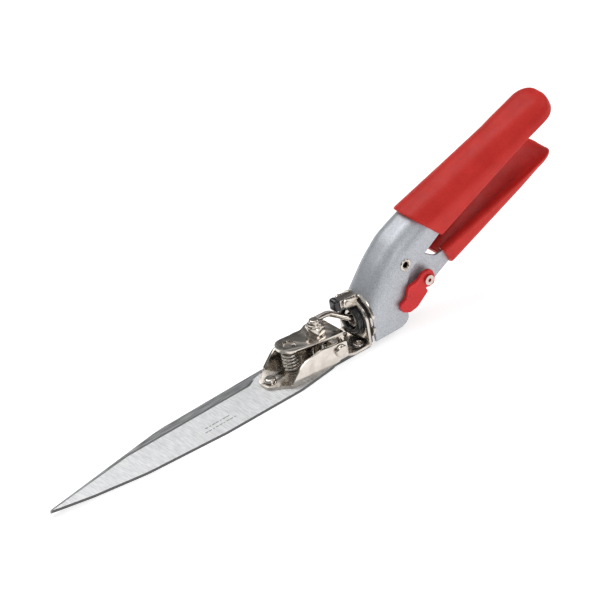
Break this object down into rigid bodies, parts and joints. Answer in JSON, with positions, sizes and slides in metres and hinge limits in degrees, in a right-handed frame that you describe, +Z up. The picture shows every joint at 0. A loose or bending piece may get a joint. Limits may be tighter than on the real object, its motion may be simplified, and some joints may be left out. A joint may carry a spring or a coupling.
{
  "type": "grass shears",
  "caption": "One-handed grass shears with a swivelling head: long tapered blades, a plated crank and spring carrier, and two red-sleeved handles with a lock lever.",
  "frame": {"origin": "on the axis of the blade pivot bolt, at the level of the lower blade's flat underside", "axes": "+X towards the blade tips, +Y to the left of someone holding the handles, +Z up"},
  "size_m": [0.3333, 0.0315, 0.0844],
  "materials": {
    "hammered_paint": "silver-grey hammered metallic paint",
    "red_vinyl": "dipped red vinyl, satin",
    "red_plastic": "moulded red plastic",
    "black_plastic": "moulded black plastic",
    "ground_steel": "ground along its length",
    "blade_steel": "stainless, brushed across",
    "spring_steel": "nickel-plated spring wire",
    "nickel": "bright nickel plate"
  },
  "bodies": {
    "handle": {"body_shell": "hammered_paint", "upper_grip": "red_vinyl", "index_plate": "nickel", "swivel_eyelet": "nickel", "handle_rivet": "nickel", "handle_spring": "spring_steel"},
    "lower_handle": {"lower_lever": "hammered_paint", "lower_grip": "red_vinyl", "lock_pin": "nickel"},
    "lock": {"lock_lever": "red_plastic"},
    "head": {"head_frame": "nickel", "frame_rivets": "nickel", "swivel_bush": "black_plastic", "latch_pin": "nickel", "lower_blade": "ground_steel", "pivot_bolt": "nickel", "pivot_nut": "nickel", "pivot_washer": "nickel", "bolt_spacer": "nickel"},
    "latch": {"latch_lever": "nickel", "latch_cap": "black_plastic", "latch_spring": "spring_steel"},
    "crank": {"crank_plate": "nickel", "carrier_pin": "nickel"},
    "blade": {"blade_carrier": "nickel", "carrier_rivets": "nickel", "upper_blade": "blade_steel", "tension_spring": "spring_steel"},
    "rod": {"pull_rod": "nickel", "rod_collars": "nickel"}
  },
  "joints": [
    {"name": "swivel", "type": "hinge", "parent": "handle", "child": "head", "pos_m": [-0.0265, 0, 0.0145], "axis": [1, 0, 0], "range_deg": [-90, 90]},
    {"name": "handle", "type": "hinge", "parent": "handle", "child": "lower_handle", "pos_m": [-0.0524, 0, 0.036], "axis": [0, -1, 0], "range_deg": [0, 11.91], "deforming": ["handle_spring"]},
    {"name": "rod_slide", "type": "slide", "parent": "head", "child": "rod", "axis": [1, 0, 0], "range_m": [0, 0.00456]},
    {"name": "crank_turn", "type": "hinge", "parent": "head", "child": "crank", "pos_m": [0, 0, 0], "axis": [0, 0, 1], "range_deg": [0, 34.5]},
    {"name": "blade_tilt", "type": "hinge", "parent": "crank", "child": "blade", "pos_m": [-0.0051, 0, 0.0096], "axis": [0, -1, 0], "range_deg": [0, 1.2], "stiffness_Nm_per_rad": 20, "springref_deg": -1.15, "deforming": ["tension_spring"]},
    {"name": "lock_turn", "type": "hinge", "parent": "lower_handle", "child": "lock", "pos_m": [-0.0635, 0.0125, 0.0224], "axis": [0, 1, 0], "range_deg": [0, 40]},
    {"name": "latch", "type": "hinge", "parent": "head", "child": "latch", "pos_m": [-0.019, 0, 0.0271], "axis": [0, 1, 0], "range_deg": [0, 12], "stiffness_Nm_per_rad": 0.3, "springref_deg": -11.46, "deforming": ["latch_spring"]}
  ],
  "couplings": [
    {"joint": "rod_slide", "follows": "handle", "m_per_rad": 0.021461},
    {"joint": "crank_turn", "follows": "handle", "ratio": 2.8546}
  ]
}
